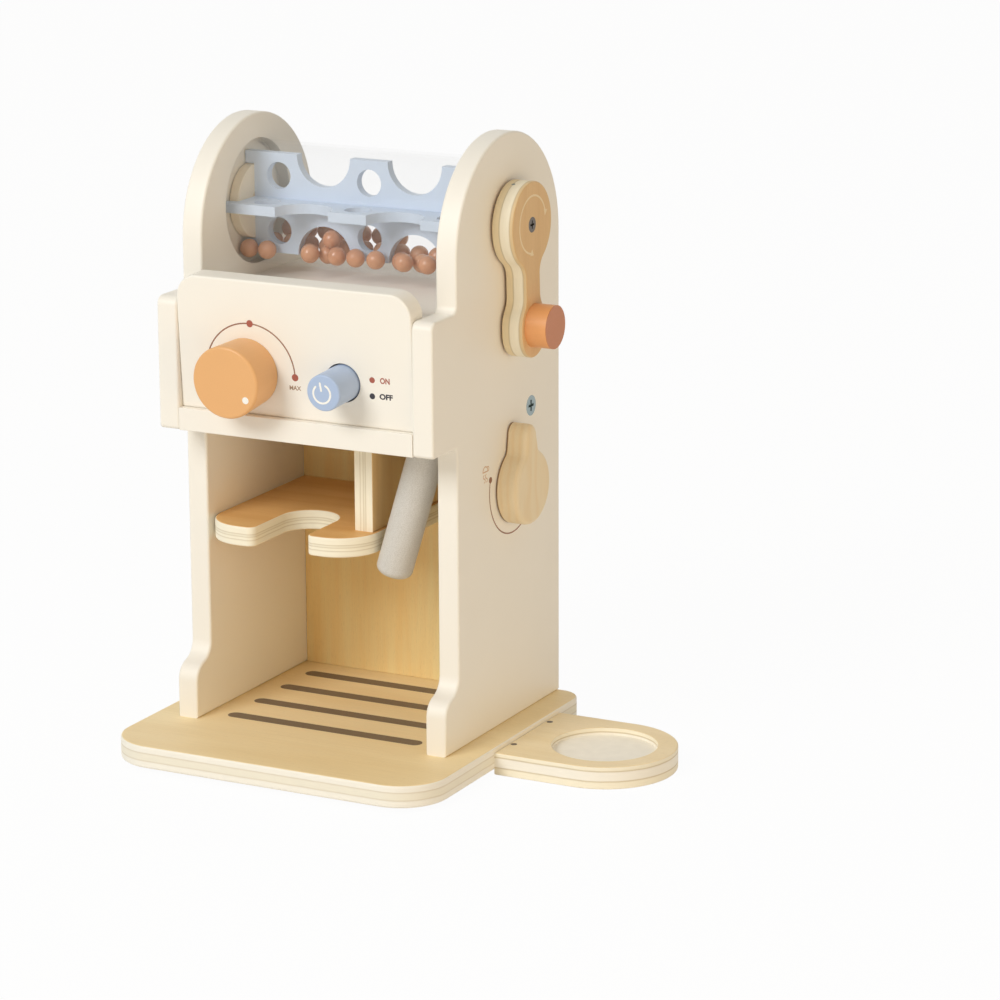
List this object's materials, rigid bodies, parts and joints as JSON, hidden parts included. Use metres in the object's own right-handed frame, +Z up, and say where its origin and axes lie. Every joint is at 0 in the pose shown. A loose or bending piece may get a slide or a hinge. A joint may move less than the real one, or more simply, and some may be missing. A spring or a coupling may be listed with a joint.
{
  "type": "toy coffee maker",
  "caption": "Wooden toy espresso machine with a cranked bean hopper, turning dial, push button, fork shelf, swinging steam wand, steam knob and cup holder.",
  "frame": {"origin": "on the ground, under the middle of the base plate", "axes": "+Z up; +X to the right seen from the front, towards the crank and the cup holder; the front faces -Y"},
  "size_m": [0.21, 0.142, 0.252],
  "materials": {
    "cream_paint": "smooth cream paint on plywood, satin",
    "birch_ply": "clear-lacquered plywood, plies seen at the edges",
    "orange_paint": "thin orange stain on turned wood, satin",
    "blue_paint": "light blue paint, satin",
    "grey_paint": "grey metallic-looking paint, satin",
    "bead_brown": "brown lacquer, glossy",
    "clear_acrylic": "clear, polished",
    "steel": "zinc plated",
    "rubber": "felt-like foam, matt",
    "brown_print": "screen-printed ink, matt",
    "orange_print": "screen-printed ink, matt",
    "white_print": "screen-printed ink, matt"
  },
  "bodies": {
    "stand": {"foot_pads": "rubber", "base_plate": "birch_ply", "left_side_panel": "cream_paint", "right_side_panel": "cream_paint", "back_panel": "birch_ply", "ceiling_board": "cream_paint", "top_deck": "cream_paint", "front_panel": "cream_paint", "spring_block": "birch_ply", "fork_shelf": "birch_ply", "divider": "birch_ply", "hopper_tube": "clear_acrylic", "side_screws": "steel", "base_screws": "steel", "cup_holder": "birch_ply", "holder_dowels": "birch_ply", "holder_pins": "steel", "button_spring": "steel"},
    "dial": {"dial_knob": "orange_paint", "dial_screw": "steel", "dial_washer": "steel"},
    "button": {"power_button": "blue_paint"},
    "wand": {"steam_wand": "grey_paint", "wand_swivel": "grey_paint", "wand_screw": "steel", "wand_washer": "steel"},
    "steam_knob": {"steam_knob": "birch_ply", "steam_knob_screw": "steel", "steam_knob_washer": "steel"},
    "crank": {"blade_upright": "blue_paint", "blade_level": "blue_paint", "left_hub": "birch_ply", "right_hub": "birch_ply", "left_axle": "birch_ply", "crank_axle": "birch_ply", "coffee_beads": "bead_brown", "crank_arm": "birch_ply", "crank_knob": "orange_paint", "knob_dowel": "birch_ply", "knob_brad": "steel", "crank_screw": "steel"}
  },
  "joints": [
    {"name": "crank_spin", "type": "hinge", "parent": "stand", "child": "crank", "pos_m": [0.0627, 0.026, 0.216], "axis": [1, 0, 0], "continuous": true},
    {"name": "dial_turn", "type": "hinge", "parent": "stand", "child": "dial", "pos_m": [-0.0215, -0.03751, 0.16057], "axis": [0, -0.9981, -0.061], "continuous": true},
    {"name": "button_press", "type": "slide", "parent": "stand", "child": "button", "axis": [0, 0.9981, 0.061], "range_m": [0, 0.005], "stiffness_N_per_m": 300, "springref_m": -0.003, "deforming": ["button_spring"]},
    {"name": "steam_knob_turn", "type": "hinge", "parent": "stand", "child": "steam_knob", "pos_m": [0.0617, 0.0286, 0.109], "axis": [1, 0, 0], "continuous": true},
    {"name": "steam_wand_swing", "type": "hinge", "parent": "stand", "child": "wand", "pos_m": [0.0426, -0.0083, 0.1341], "axis": [0, 0, 1], "range_deg": [0, 90]}
  ]
}
